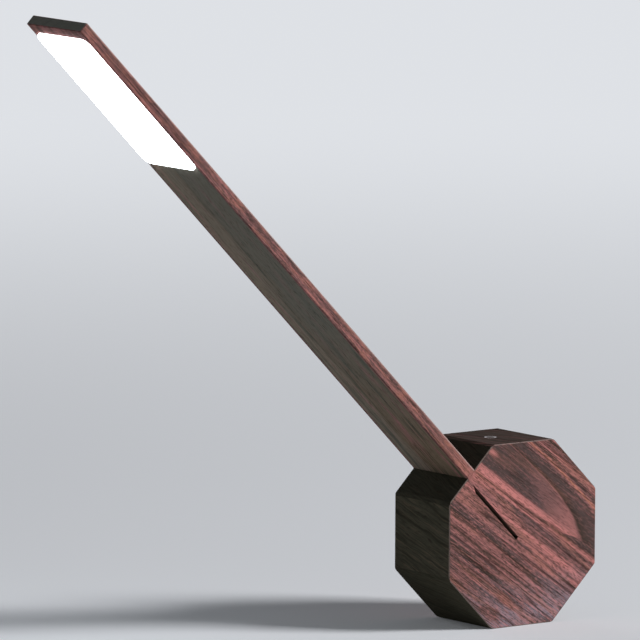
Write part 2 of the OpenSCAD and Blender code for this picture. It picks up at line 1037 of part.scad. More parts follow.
// A lead runs into the lead room, up past the socket and over to the lower edge of the board
module lead_to_board(start, i) {
    entry_x = board_x + (i - 1.5) * lead_step;
    entry_z = board_z - board_h / 2 + post_inset;
    along = (entry_x + entry_z) / sqrt(2);
    above = (entry_z - entry_x) / sqrt(2);
    wire([
        start,
        [lead_x, start.y, start.z],
        [lead_x, start.y, socket_top + 2 * lead_d],
        [along, start.y, above],
        [along, board_face_y, above]
    ], lead_d);
}

// Two leads run from the cells round the contact block to the main board
module battery_leads() {
    color(red_pvc)
        along_arm()
            for (i = [0, 1])
                lead_to_board([tray_x - cell_len / 2, lead_y - i * 2 * lead_d, tray_z], i);
}

// Two leads run from the contact block to the main board
module contact_leads() {
    color(red_pvc)
        along_arm()
            for (i = [0, 1])
                lead_to_board([block_x0, (2 * i - 1) * pin_y, pin_z], i + 2);
}

// Arm

// The visible board of the arm: a pocket under a thin top, with ledges for the underside panel
module arm_tray() {
    color(wood_arm)
        along_arm()
            difference() {
                union() {
                    along_x(heel_x, mouth_x)
                        square([arm_w, arm_t], center = true);
                    along_x(mouth_x, tip_x)
                        broken_rect(arm_w, arm_t, arm_break);
                }
                tip_edge_cuts();
                translate([heel_x - over, -pocket_w / 2, -arm_t])
                    cube([lens_x1 - ledge_w - heel_x + over, pocket_w, arm_t + roof_z]);
                square_to_arm(-arm_t, ledge_z) {
                    translate([heel_x - over, -rebate_w / 2])
                        square([lens_x - heel_x + over, rebate_w]);
                    lens_outline(touch_gap);
                }
                translate([heel_x - over, -key_w / 2 - slot_gap, arm_top - key_h])
                    cube([groove_end - heel_x + over, key_w + 2 * slot_gap, key_h + over]);
            }
}

// Bars that break the edges round the tip of the arm
module tip_edge_cuts() {
    bar = arm_break * sqrt(2);
    for (s = [-1, 1]) {
        translate([tip_x, s * arm_w / 2, 0])
            rotate([0, 0, 45])
                cube([bar, bar, 2 * arm_t], center = true);
        translate([tip_x, 0, s * arm_top])
            rotate([0, 45, 0])
                cube([bar, 2 * arm_w, bar], center = true);
    }
}

// The outline of the diffuser, grown by a gap
module lens_outline(gap) {
    translate([lens_x, 0])
        round_rect(lens_len + 2 * gap, lens_w + 2 * gap, lens_corner + gap);
}

// A thin board that closes the arm from its heel to the round corners of the diffuser
module arm_underside() {
    color(wood_panel)
        along_arm()
            square_to_arm(-arm_top, ledge_z)
                difference() {
                    translate([heel_x, -panel_w / 2])
                        square([lens_x0 + lens_corner - heel_x, panel_w]);
                    lens_outline(touch_gap);
                }
}

// An aluminium core: a narrow spine that stiffens the arm and a wide head that cools the light board
module arm_core() {
    core_x0 = heel_x + heel_recess + heel_len + seat_gap;
    core_x1 = lens_x1 - ledge_w - seat_gap;
    head_w = pocket_w - 2 * seat_gap;
    head_x0 = lens_x - led_board_len / 2;
    neck_x0 = head_x0 - (head_w - spine_w) / 2;
    side = [
        [core_x0, spine_w / 2], [neck_x0, spine_w / 2], [head_x0, head_w / 2], [core_x1, head_w / 2]
    ];
    color(aluminium)
        along_arm()
            square_to_arm(core_z, roof_z)
                polygon(concat(side, [for (i = [len(side) - 1 : -1 : 0]) [side[i].x, -side[i].y]]));
}

// A plug in the end of the pocket that carries the contact pads
module arm_heel() {
    heel_x0 = heel_x + heel_recess;
    channel_w = strip_w + 2 * hole_gap;
    color(black_abs)
        along_arm()
            difference() {
                translate([heel_x0, -pocket_w / 2 + hole_gap, ledge_z])
                    cube([heel_len, pocket_w - 2 * hole_gap, heel_h]);
                for (s = [-1, 1]) {
                    translate([heel_x0 - over, s * pin_y - pad_w / 2 - hole_gap, ledge_z - over])
                        cube([pad_t + over, pad_w + 2 * hole_gap, heel_h + 2 * over]);
                    translate([heel_x0 - over, s * pin_y - channel_w / 2, core_z - strip_t - hole_gap])
                        cube([heel_len + 2 * over, channel_w, strip_t + 2 * hole_gap]);
                }
            }
}

module contact_pads() {
    color(brass)
        along_arm()
            for (s = [-1, 1])
                translate([heel_x + heel_recess, s * pin_y - pad_w / 2, ledge_z + hole_gap])
                    cube([pad_t, pad_w, heel_h - 2 * hole_gap]);
}

// Flat leads under the core, from the contact pads to the light board
module arm_leads() {
    lead_x0 = heel_x + heel_recess + pad_t;
    color(copper)
        along_arm()
            for (s = [-1, 1])
                translate([lead_x0, s * pin_y - strip_w / 2, core_z - strip_t])
                    cube([lens_x - led_board_len / 2 - lead_x0, strip_w, strip_t]);
}

// Light panel

module led_board() {
    color(white_acrylic)
        along_arm()
            translate([lens_x - led_board_len / 2, -led_board_w / 2, led_board_z])
                cube([led_board_len, led_board_w, led_board_t]);
}

// Places its children on the grid of light chips
module at_chips() {
    for (i = [0 : led_columns - 1], j = [0 : led_rows - 1])
        translate([
            lens_x + (i - (led_columns - 1) / 2) * chip_step_x,
            (j - (led_rows - 1) / 2) * chip_step_y
        ])
            children();
}

module led_chips() {
    color("#f2e6a8")
        along_arm()
            square_to_arm(led_board_z - chip_h, led_board_z)
                at_chips()
                    square([chip_len, chip_w], center = true);
}

// A white film over the board, with a window for each chip
module reflector_film() {
    color(white_acrylic)
        along_arm()
            square_to_arm(led_board_z - film_t, led_board_z)
                difference() {
                    translate([lens_x, 0])
                        square([led_board_len, led_board_w], center = true);
                    at_chips()
                        square([chip_len + 2 * seat_gap, chip_w + 2 * seat_gap], center = true);
                }
}

// A white face with softened edges, on a skirt that seats on the ledges of the arm
module diffuser() {
    color(white_acrylic)
        along_arm() {
            hull() {
                square_to_arm(lens_z, lens_z + lens_break)
                    lens_outline(-lens_break, $fn = lens_facets);
                square_to_arm(lens_z + lens_break, lens_z + lens_t)
                    lens_outline(0, $fn = lens_facets);
            }
            square_to_arm(lens_z + lens_t / 2, ledge_z)
                difference() {
                    lens_outline(0, $fn = lens_facets);
                    lens_outline(-skirt_t, $fn = lens_facets);
                }
        }
}

base_housing();
back_cover();
cover_screws();
arm_socket();
socket_screws();
retaining_spring();
contact_block();
front_contact_pin();
rear_contact_pin();
ballast_weight();
ballast_screws();
battery_tray();
battery_cells();
tray_screws();
main_board();
board_components();
board_posts();
board_screws();
usb_inlet();
switch_body();
switch_slider();
touch_ring();
touch_pad();
touch_lead();
battery_leads();
contact_leads();
arm_tray();
arm_underside();
arm_core();
arm_heel();
contact_pads();
arm_leads();
led_board();
led_chips();
reflector_film();
diffuser();
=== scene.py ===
"""Looks of the cordless desk lamp: figured rosewood, a lit opal panel and plain studio light."""

import math

import bmesh
import bpy
from bpy.props import FloatProperty, FloatVectorProperty, PointerProperty
from mathutils import Matrix, Vector


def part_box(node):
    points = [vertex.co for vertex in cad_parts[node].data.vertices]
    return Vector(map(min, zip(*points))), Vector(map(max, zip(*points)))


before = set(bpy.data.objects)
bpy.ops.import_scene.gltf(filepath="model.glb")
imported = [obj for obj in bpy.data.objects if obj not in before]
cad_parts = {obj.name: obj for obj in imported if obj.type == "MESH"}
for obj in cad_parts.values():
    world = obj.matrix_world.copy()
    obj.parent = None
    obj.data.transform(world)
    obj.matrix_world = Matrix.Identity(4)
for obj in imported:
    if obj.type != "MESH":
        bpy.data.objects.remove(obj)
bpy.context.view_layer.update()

bl_info = {
    "name": "Desk lamp looks",
    "version": (1, 0, 0),
    "blender": (4, 5, 0),
    "location": "3D View > Sidebar > Desk lamp",
    "description": "Dresses the desk lamp's CAD frame in wood, metal, plastic and light",
    "category": "Object",
}

MM = 0.001
HOUSING_LOW, HOUSING_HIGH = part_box("base_housing")
BASE_CENTRE = (HOUSING_LOW + HOUSING_HIGH) / 2
MOUTH = (HOUSING_HIGH.z - HOUSING_LOW.z) / 2 / MM  # the arm leaves the base so many mm from its centre
ARM_ALONG = Vector((-1, 0, 1)).normalized()
ARM_UP = Vector((1, 0, 1)).normalized()
ARM_TOP = max(
    (corner.co - BASE_CENTRE).dot(ARM_UP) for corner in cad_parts["arm_tray"].data.vertices
) / MM  # how far the arm's top face lies above the centre of the base
TO_BACK, TO_TOP = (0, 1, 0), (0, 0, 1)
LAMP_MIDDLE = Vector((-0.1, 0, 0.15))  # the point that the studio lights look at
FLOOR_RADIUS = 14
PAPER_END, BACKDROP_START = 0.5, 2.5  # between these distances the floor turns into the backdrop
BACKDROP = 0.85  # how bright the backdrop looks, as a share of its colour
SENSOR = 36  # width of the camera's sensor, in mm
MIX_A, MIX_B, MIX_RESULT = 6, 7, 2  # the Mix node's colour sockets
NUMBER_A, NUMBER_B = 2, 3  # the Mix node's number sockets
SQUARE_ON = 0.85  # a surface faces a direction if its normal agrees with it this well
VENEER_STOPS = (0.34, 0.47, 0.55, 0.68)  # where a plain veneer's noise reaches each of its four tones
SIDE_STRETCH = (137, 0, 291)  # how far apart the sides lie on the roll of veneer, in mm
SIDE_BEND = 5.0  # how far the grain of the sides bends, in mm
RED_SIDES = (0.8, 0, 0.6)  # the top and the right sides face this way; they keep the redder veneer, while the other sides get a painted shade
EDGE_FACING = 0.7  # how well the normal of a broken edge agrees with the front

# Where the bands of the front face's figure lie, in mm across the grain, and the tone of each. Below
# the pith line they run straight, in mm from the centre of the face. Above it they are growth rings
# of a log that was cut at a slant, in mm from its pith.
STRAIGHT_BANDS = (
    (-56, "brown"), (-49, "mauve"), (-46.4, "brown"), (-44, "rose"), (-42.4, "brown"), (-40.2, "brown"),
    (-38.3, "rose"), (-37.2, "brown"), (-35, "mauve"), (-33, "slate"), (-31.2, "dark"), (-29.8, "brown"),
    (-28.2, "rose"), (-27.2, "slate"), (-24.8, "rose"), (-22.6, "dark"), (-20.8, "rose"), (-18.6, "rose"),
    (-15.2, "dark"), (-13.4, "slate"), (-10.2, "mauve"), (-7.8, "rose"), (-5.4, "slate"), (-3.6, "rose"),
    (-1.2, "slate"), (1, "salmon"), (3.2, "rose"), (5, "mauve"), (9.6, "slate"), (11, "salmon"),
    (13, "dark"), (14.6, "salmon"),
)
RING_BANDS = (
    (0, "slate"), (13.6, "slate"), (15.5, "mauve"), (19.6, "mauve"), (20.2, "rose"), (20.8, "dark"),
    (23, "brown"), (26.6, "brown"), (27.8, "rose"), (28.8, "amber"), (29.6, "rose"), (30.4, "brown"),
    (31.6, "brown"), (32.6, "rose"), (34.4, "rose"), (35.6, "mauve"), (36.8, "dark"), (37.6, "dark"),
    (38.4, "rose"), (40, "rose"), (42, "mauve"), (47, "mauve"),
)
WAVE, RIPPLE = 1.2, 0.9  # how far the bands wander, in long waves and in short ones
PITH_RISE, PITH_DEPTH = 0.193, 13.0  # the log's axis rises so far each mm, from so deep under the centre
DRAW_IN, DRAW_IN_SHARE = 3.5, 0.27  # up to so far above the pith line the rings draw in by this share
TONGUE_RIM = (20.4, 19.6)  # the rings at which the tongue begins and is full
ROOT_FLECK = (-46, 27)  # place of the pale fleck at the tongue's root
FLECK_RATIO = 3  # how many times as long as wide the fleck is


def linear(code):
    """An sRGB hex colour as linear red, green and blue."""
    channels = [int(code[i : i + 2], 16) / 255 for i in (1, 3, 5)]
    return tuple(c / 12.92 if c <= 0.04045 else ((c + 0.055) / 1.055) ** 2.4 for c in channels)


def colour(name, code, words):
    """A colour that a user may change, given as sRGB hex."""
    return FloatVectorProperty(
        name=name, description=words, default=linear(code), subtype="COLOR", min=0, max=1
    )


class LampWood(bpy.types.PropertyGroup):
    """Tones and grain of the wood."""

    salmon: colour("Salmon", "#c47f7a", "Pale heart stripe of the figure")
    rose: colour("Rose", "#936562", "Lighter streaks")
    mauve: colour("Mauve", "#775755", "Middle tone")
    slate: colour("Slate", "#5c4a4a", "Grey middle of the figure")
    brown: colour("Brown", "#524442", "Smooth dark bands of the figure")
    dark: colour("Dark", "#423731", "Dark lines of the figure, and middle tone of the top")
    pore: colour("Pore", "#2e211d", "Open pores, and darkest bands of the top")
    amber: colour("Amber", "#b67763", "Orange streaks, most of all on the front edge of the arm")
    umber: colour("Umber", "#333228", "Dark streaks of the plain veneer")
    shade: colour("Olive brown", "#4c493d", "Middle tone of the plain veneer")
    straw: colour("Straw brown", "#756554", "Pale streaks of the plain veneer")
    ash: colour("Ash brown", "#676860", "Grey middle of the arm's underside")
    # Haze is painted sheen: a grey veil that stands for a light's reflection on the oiled face
    haze: colour("Haze", "#988791", "Painted sheen, grey patches that stand for a light's reflection")
    # Painted light: the tip of the arm is painted pale grey as if lit by the panel's glow; along the back
    # of the underside the same grey only makes the wood paler
    pale_grey_and_tip_glow: colour(
        "End grain", "#97958c", "Grey tip of the arm, and pale wood along the back of its underside"
    )
    # Painted highlight: the pale tone laid on the broken edges of the base and on the arm's top front
    # edge
    painted_edge_highlight: colour("Edge highlight", "#cbafa9", "Painted highlight along the broken edges")
    grain_angle: FloatProperty(
        name="Grain angle", description="Slope of the grain on the front face, down to the right",
        default=math.radians(35), subtype="ANGLE",
    )
    pith_offset: FloatProperty(
        name="Pith offset", description="Distance of the pith line from the centre of the front face",
        default=18.5 * MM, unit="LENGTH",
    )
    side_angle: FloatProperty(
        name="Side grain angle", default=math.radians(17), subtype="ANGLE",
        description="Lean of the grain on the sides, one way on the left and the other way elsewhere",
    )


class LampLight(bpy.types.PropertyGroup):
    """The lit panel."""

    panel: colour("Panel light", "#f2faff", "Colour of the light from the panel")
    strength: FloatProperty(
        name="Panel strength", description="Strength of the light from the panel", default=9.0, min=0
    )


class LampStage(bpy.types.PropertyGroup):
    """Floor, lights and camera."""

    floor: colour("Floor", "#eff2f7", "Colour of the floor and the backdrop")
    key_tone: colour("Key light", "#fdfcfc", "Colour of the studio light")
    key_power: FloatProperty(
        name="Key power", description="Power of the studio light", default=375, unit="POWER"
    )
    key_azimuth: FloatProperty(
        name="Key azimuth", description="Studio light's turn to the right of the front", subtype="ANGLE",
        default=math.radians(45),
    )
    key_elevation: FloatProperty(
        name="Key elevation", description="Studio light's height above the horizon", subtype="ANGLE",
        default=math.radians(28),
    )
    key_distance: FloatProperty(
        name="Key distance", description="From the studio light to the lamp", default=6.0, unit="LENGTH"
    )
    key_size: FloatProperty(
        name="Key size", description="Side of the square studio light", default=1.6, unit="LENGTH"
    )
    fill_share: FloatProperty(
        name="Fill share", description="Power of the low light behind the lamp, as a share of the key's",
        default=0.35, subtype="FACTOR",
    )
    fill_elevation: FloatProperty(
        name="Fill elevation", description="Height of the light behind the lamp above the horizon",
        default=math.radians(4), subtype="ANGLE",
    )
    even_tone: colour("Even light", "#e2eaf0", "Colour of the weak light from all round")
    even_strength: FloatProperty(
        name="Even strength", description="Strength of the weak light from all round", default=0.085,
        min=0,
    )
    paper_glow: FloatProperty(
        name="Paper glow", description="Light that the floor adds to its own shadows", default=0.05, min=0
    )
    azimuth: FloatProperty(
        name="Azimuth", description="Camera's turn round the lamp", default=math.radians(-37.07),
        subtype="ANGLE",
    )
    elevation: FloatProperty(
        name="Elevation", description="Camera's height above the horizon", default=math.radians(7.73),
        subtype="ANGLE",
    )
    roll: FloatProperty(
        name="Roll", description="Camera's roll about its own axis", default=math.radians(0.28),
        subtype="ANGLE",
    )
    distance: FloatProperty(
        name="Distance", description="From the camera to the point it looks at", default=5.6,
        unit="LENGTH",
    )
    aim: FloatVectorProperty(
        name="Aim", description="The point the camera looks at", default=(-0.1089, 0.0216, 0.1776),
        subtype="TRANSLATION", unit="LENGTH",
    )
    lens: FloatProperty(
        name="Focal length", description="Focal length of the camera, in mm", default=562.3, unit="CAMERA"
    )


def add(tree, kind, inputs=None, out=0, stops=None, **settings):
    """Adds a node with its settings, sets or links its inputs, fills its ramp, and gives one output."""
    made = tree.nodes.new(kind)
    for key, value in settings.items():
        setattr(made, key, value)
    for socket, value in (inputs or {}).items():
        if isinstance(value, bpy.types.NodeSocket):
            tree.links.new(value, made.inputs[socket])
        else:
            made.inputs[socket].default_value = value
    if stops:
        elements = made.color_ramp.elements
        elements.remove(elements[1])
        elements[0].position = stops[0][0]
        elements[0].color = (*stops[0][1], 1)
        for place, tone in stops[1:]:
            elements.new(place).color = (*tone, 1)
    return made.outputs[out] if made.outputs else None


def new_material(name):
    """A node material with a shader and nothing else yet."""
    material = bpy.data.materials.new(name)
    material.use_nodes = True
    tree = material.node_tree
    tree.nodes.clear()
    shader = add(tree, "ShaderNodeBsdfPrincipled")
    add(tree, "ShaderNodeOutputMaterial", {"Surface": shader})
    return material, tree, shader.node


def paint(material, *names):
    """Gives CAD nodes a material."""
    for name in names:
        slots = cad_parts[name].data.materials
        slots.clear()
        slots.append(material)


def surface_point(tree, centre=(0, 0, 0)):
    """Points of the surface in mm from a centre, in the frame of the lamp."""
    place = add(tree, "ShaderNodeTexCoord", out="Object")
    moved = add(tree, "ShaderNodeVectorMath", {0: place, 1: tuple(centre)}, operation="SUBTRACT")
    return add(tree, "ShaderNodeVectorMath", {0: moved, "Scale": 1 / MM}, operation="SCALE")


def streaks(tree, along, across, length, width, seed, detail=2.0):
    """Noise drawn out along the grain, with streaks of a length and a width in mm."""
    place = add(tree, "ShaderNodeCombineXYZ", {0: along, 1: across, 2: seed})
    drawn = add(
        tree, "ShaderNodeVectorMath", {0: place, 1: (1 / length, 1 / width, 1)}, operation="MULTIPLY"
    )
    return add(
        tree, "ShaderNodeTexNoise",
        {"Vector": drawn, "Scale": 1.0, "Detail": detail, "Roughness": 0.55, "Distortion": 0.0},
    )


def lay_over(tree, under, tone, noise, start, full, share, where=None):
    """Lays a tone over another as a noise goes from start to full, up to a share, inside a mask."""
    if where:
        share = add(tree, "ShaderNodeMath", {0: where, 1: share}, operation="MULTIPLY")
    factor = add(
        tree, "ShaderNodeMapRange", {"Value": noise, "From Min": start, "From Max": full, "To Max": share}
    )
    return add(
        tree, "ShaderNodeMix", {0: factor, MIX_A: under, MIX_B: (*tone, 1)}, out=MIX_RESULT,
        data_type="RGBA",
    )


def lay_layers(tree, tone, wood, layers, where=None):
    """Lays tones of the wood over another in turn: each one's name, noise, start, full and share."""
    for name, noise, start, full, share in layers:
        tone = lay_over(tree, tone, getattr(wood, name), noise, start, full, share, where)
    return tone


def warm_streaks(tree, tone, along, across, wood, busy):
    """Orange and salmon streaks, short flecks and thin dark veins over the tone of a heartwood."""
    warm = streaks(tree, along, across, 45, 6, 31.5)
    streak = streaks(tree, along, across, 40, 1.2, 3.1, 3.0)
    fleck = streaks(tree, along, across, 2.6, 0.6, 9.4, 3.0)
    vein = streaks(tree, along, across, 120, 3, 15.8, 1.0)
    off_vein = add(tree, "ShaderNodeMath", {0: vein, 1: 0.5}, operation="SUBTRACT")
    off_vein = add(tree, "ShaderNodeMath", {0: off_vein}, operation="ABSOLUTE")
    layers = (
        ("amber", warm, 0.54, 0.66, 0.3),
        ("salmon", streak, 0.54, 0.64, 0.4),
        ("dark", streak, 0.46, 0.38, 0.65),
        ("salmon", fleck, 0.54, 0.66, 0.42),
        ("dark", fleck, 0.46, 0.36, 0.68),
        ("pore", off_vein, 0.03, 0.006, 0.65),
    )
    return lay_layers(tree, tone, wood, layers, busy)


def plain_veneer(tree, along, across, wood, tones, pale, seed, length, width):
    """Broad bands of a plain cut, through four tones, with quiet pale and dark streaks."""
    broad = streaks(tree, along, across, length, width, seed)
    stops = [(place, getattr(wood, name)) for place, name in zip(VENEER_STOPS, tones)]
    tone = add(tree, "ShaderNodeValToRGB", {0: broad}, stops=stops)
    streak = streaks(tree, along, across, 0.45 * length, 0.3 * width, seed + 1, 3.0)
    layers = ((pale, streak, 0.53, 0.64, 0.35), ("umber", streak, 0.47, 0.38, 0.55))
    return lay_layers(tree, tone, wood, layers)


def oil_finish(tree, shader, tone, along, across, wood):
    """Open pores under a coat of matt oil."""
    # Pores are about 0.1 mm wide, and are drawn 0.5 mm wide so that they show
    pore = streaks(tree, along, across, 5, 0.5, 7.7, 1.0)
    tone = lay_over(tree, tone, wood.pore, pore, 0.58, 0.7, 0.5)
    tree.links.new(tone, shader.inputs["Base Color"])
    matt = add(
        tree, "ShaderNodeMapRange",
        {"Value": pore, "From Min": 0.35, "From Max": 0.65, "To Min": 0.66, "To Max": 0.86},
    )
    tree.links.new(matt, shader.inputs["Roughness"])
    shader.inputs["IOR"].default_value = 1.45
    shader.inputs["Specular IOR Level"].default_value = 0.02
    relief = add(
        tree, "ShaderNodeBump", {"Strength": 0.3, "Distance": 0.1 * MM, "Height": pore}, invert=True
    )
    tree.links.new(relief, shader.inputs["Normal"])


def face_ways(tree, point, wood, hand=1):
    """Places along and across the grain of the front face, or of the back, which is turned half round."""
    turn = wood.grain_angle
    ways = ((math.cos(turn), 0, -hand * math.sin(turn)), (math.sin(turn), 0, hand * math.cos(turn)))
    return [
        add(tree, "ShaderNodeVectorMath", {0: point, 1: way}, out="Value", operation="DOT_PRODUCT")
        for way in ways
    ]


def figure_tone(tree, along, across, wood):
    """The slanted growth rings and straight bands of the front face, and how busy its streaks are."""
    wave = streaks(tree, along, across, 60, 16, 0.4)
    ripple = streaks(tree, along, across, 24, 2.4, 5.2)
    waved = add(tree, "ShaderNodeMath", {0: wave, 1: WAVE, 2: across}, operation="MULTIPLY_ADD")
    rippled = add(tree, "ShaderNodeMath", {0: ripple, 1: RIPPLE, 2: waved}, operation="MULTIPLY_ADD")
    height = add(tree, "ShaderNodeMath", {0: rippled, 1: (WAVE + RIPPLE) / 2}, operation="SUBTRACT")
    # Above the pith line: rings of a log whose axis rises out of the veneer at a slant
    over_pith = add(tree, "ShaderNodeMath", {0: height, 1: wood.pith_offset / MM}, operation="SUBTRACT")
    slant = add(tree, "ShaderNodeMath", {0: along, 1: PITH_RISE, 2: PITH_DEPTH}, operation="MULTIPLY_ADD")
    flat = add(tree, "ShaderNodeMath", {0: over_pith, 1: 0.0}, operation="MAXIMUM")
    pair = add(tree, "ShaderNodeCombineXYZ", {0: flat, 1: slant})
    ring = add(tree, "ShaderNodeVectorMath", {0: pair}, out="Value", operation="LENGTH")
    # Close to the pith the rings draw in, so that the tongue ends in a point
    near = add(tree, "ShaderNodeMath", {0: flat, 1: DRAW_IN}, operation="MINIMUM")
    ring = add(tree, "ShaderNodeMath", {0: near, 1: DRAW_IN_SHARE, 2: ring}, operation="MULTIPLY_ADD")
    top = RING_BANDS[-1][0]
    ring_share = add(tree, "ShaderNodeMath", {0: ring, 1: 1 / top}, operation="MULTIPLY")
    rings = add(
        tree, "ShaderNodeValToRGB", {0: ring_share},
        stops=[(mm / top, getattr(wood, tone)) for mm, tone in RING_BANDS],
    )
    # The tongue of the figure is dark at its root and warms towards its tip
    outer, inner = TONGUE_RIM
    inside = add(tree, "ShaderNodeMapRange", {"Value": ring, "From Min": outer, "From Max": inner})
    at_tip = add(tree, "ShaderNodeMath", {0: inside, 1: along}, operation="MULTIPLY")
    tongue = lay_over(tree, rings, wood.salmon, at_tip, 5, 36, 0.62)
    tongue = lay_over(tree, tongue, wood.brown, at_tip, -2, -20, 1.0)
    # A short pale fleck lies across the root
    spot = add(tree, "ShaderNodeCombineXYZ", {0: along, 1: height})
    spot = add(
        tree, "ShaderNodeVectorMath",
        {0: spot, 1: (1, FLECK_RATIO, 0), 2: (-ROOT_FLECK[0], -FLECK_RATIO * ROOT_FLECK[1], 0)},
        operation="MULTIPLY_ADD",
    )
    spot = add(tree, "ShaderNodeVectorMath", {0: spot}, out="Value", operation="LENGTH")
    tongue = lay_over(tree, tongue, wood.salmon, spot, 6.5, 2, 0.75)
    # Below the pith line: straight bands that fan out a little
    fan = add(
        tree, "ShaderNodeMapRange",
        {"Value": height, "From Min": 4, "From Max": 12, "To Min": 0.03, "To Max": -0.03},
    )
    low = add(tree, "ShaderNodeMath", {0: along, 1: fan, 2: height}, operation="MULTIPLY_ADD")
    deep, high = STRAIGHT_BANDS[0][0], STRAIGHT_BANDS[-1][0]
    low_share = add(tree, "ShaderNodeMapRange", {"Value": low, "From Min": deep, "From Max": high})
    bands = add(
        tree, "ShaderNodeValToRGB", {0: low_share},
        stops=[((mm - deep) / (high - deep), getattr(wood, tone)) for mm, tone in STRAIGHT_BANDS],
    )
    # Warm streaks to the right of the slot
    near_slot = add(tree, "ShaderNodeMath", {0: low, 1: 0.4}, operation="ADD")
    near_slot = add(tree, "ShaderNodeMath", {0: near_slot}, operation="ABSOLUTE")
    right = add(tree, "ShaderNodeMapRange", {"Value": along, "From Min": -4, "From Max": 14})
    bands = lay_over(tree, bands, wood.salmon, near_slot, 4.6, 3.0, 0.4, right)
    # The stripe under the tongue runs out with it, and beyond the tip the wood is dark
    run_out = add(tree, "ShaderNodeMath", {0: over_pith, 1: -3.4, 2: along}, operation="MULTIPLY_ADD")
    in_stripe = add(tree, "ShaderNodeMapRange", {"Value": low, "From Min": 12.8, "From Max": 13.6})
    bands = lay_over(tree, bands, wood.brown, run_out, 36, 37.5, 1.0, in_stripe)
    above = add(tree, "ShaderNodeMapRange", {"Value": over_pith, "From Min": -2.2, "From Max": 0.4})
    tone = add(
        tree, "ShaderNodeMix", {0: above, MIX_A: bands, MIX_B: tongue}, out=MIX_RESULT, data_type="RGBA"
    )
    # Painted sheen: grey patches over the low right of the face stand for a light's reflection on the oil
    patch = streaks(tree, along, across, 26, 9, 12.3)
    painted_sheen_area = add(tree, "ShaderNodeMath", {0: across, 1: -1.3, 2: along}, operation="MULTIPLY_ADD")
    painted_sheen_area = add(tree, "ShaderNodeMapRange", {"Value": painted_sheen_area, "From Min": 35, "From Max": 75})
    tone = lay_over(tree, tone, wood.haze, patch, 0.37, 0.52, 0.7, painted_sheen_area)
    # Streaks are weak on the tongue and the dark band round it
    calm = add(tree, "ShaderNodeMapRange", {"Value": over_pith, "From Min": -8, "From Max": 2})
    calm_ring = add(tree, "ShaderNodeMapRange", {"Value": ring, "From Min": 27, "From Max": 25})
    calm = add(tree, "ShaderNodeMath", {0: calm, 1: calm_ring}, operation="MULTIPLY")
    busy = add(tree, "ShaderNodeMath", {0: calm, 1: -0.6, 2: 1.0}, operation="MULTIPLY_ADD")
    return tone, busy


def rosewood_base(wood, name, hand):
    """Rosewood veneer, sanded and oiled: a figured face, plain dark sides with painted shade on the left
    and the top, and a painted highlight on the broken edges.
    """
    material, tree, shader = new_material(name)
    point = surface_point(tree, BASE_CENTRE)
    normal = add(tree, "ShaderNodeTexCoord", out="Normal")
    face_along, face_across = face_ways(tree, point, wood, hand)
    depth, facing, upward = (
        add(tree, "ShaderNodeVectorMath", {0: vector, 1: way}, out="Value", operation="DOT_PRODUCT")
        for vector, way in ((point, TO_BACK), (normal, TO_BACK), (normal, TO_TOP))
    )
    # Each side has its own stretch of veneer, with the grain from back to front
    round_way = add(tree, "ShaderNodeVectorMath", {0: normal, 1: TO_BACK}, operation="CROSS_PRODUCT")
    girth, stretch, turned = (
        add(tree, "ShaderNodeVectorMath", {0: vector, 1: way}, out="Value", operation="DOT_PRODUCT")
        for vector, way in ((point, round_way), (normal, SIDE_STRETCH), (normal, RED_SIDES))
    )
    girth = add(tree, "ShaderNodeMath", {0: girth, 1: stretch}, operation="ADD")
    # It leans one way on the top and the right, the other way on the left, and bends a little
    turned = add(tree, "ShaderNodeMath", {0: turned, 1: 0.0}, operation="GREATER_THAN")
    slope = math.tan(wood.side_angle)
    lean = add(tree, "ShaderNodeMath", {0: turned, 1: -2 * slope, 2: slope}, operation="MULTIPLY_ADD")
    girth = add(tree, "ShaderNodeMath", {0: depth, 1: lean, 2: girth}, operation="MULTIPLY_ADD")
    bend = streaks(tree, depth, girth, 24, 9, 18.0)
    girth = add(tree, "ShaderNodeMath", {0: bend, 1: SIDE_BEND, 2: girth}, operation="MULTIPLY_ADD")
    facing = add(tree, "ShaderNodeMath", {0: facing}, operation="ABSOLUTE")
    on_face = add(tree, "ShaderNodeMath", {0: facing, 1: SQUARE_ON}, operation="GREATER_THAN")
    along, across = (
        add(tree, "ShaderNodeMix", {0: on_face, NUMBER_A: side, NUMBER_B: face}, data_type="FLOAT")
        for side, face in ((depth, face_along), (girth, face_across))
    )
    # Painted shade: the left sides get a darker olive veneer, darkest on the upper and lower left sides
    bands = ("umber", "shade", "shade", "shade")
    olive = plain_veneer(tree, depth, girth, wood, bands, "straw", 21.0, 50, 4)
    slant_shade = add(tree, "ShaderNodeVectorMath", {0: normal}, operation="ABSOLUTE")
    slant_shade = add(
        tree, "ShaderNodeVectorMath", {0: slant_shade, 1: (1, 0, 1)}, out="Value", operation="DOT_PRODUCT"
    )
    olive = lay_over(tree, olive, wood.umber, slant_shade, 1.2, 1.3, 0.6)
    # It is redder on the top and the right, and the top is painted darker still, a painted shade
    bands = ("pore", "dark", "dark", "brown")
    red = plain_veneer(tree, depth, girth, wood, bands, "rose", 24.0, 120, 8)
    red = lay_over(tree, red, wood.pore, upward, 0.8, 0.9, 0.2)
    sides = add(
        tree, "ShaderNodeMix", {0: turned, MIX_A: olive, MIX_B: red}, out=MIX_RESULT, data_type="RGBA"
    )
    face, busy = figure_tone(tree, face_along, face_across, wood)
    face = warm_streaks(tree, face, face_along, face_across, wood, busy)
    tone = add(
        tree, "ShaderNodeMix", {0: on_face, MIX_A: sides, MIX_B: face}, out=MIX_RESULT, data_type="RGBA"
    )
    # A broken edge faces between the front and the sides, and gets a pale painted highlight
    off_edge = add(tree, "ShaderNodeMath", {0: facing, 1: EDGE_FACING}, operation="SUBTRACT")
    off_edge = add(tree, "ShaderNodeMath", {0: off_edge}, operation="ABSOLUTE")
    tone = lay_over(tree, tone, wood.painted_edge_highlight, off_edge, 0.15, 0.1, 0.32)
    oil_finish(tree, shader, tone, along, across, wood)
    return material


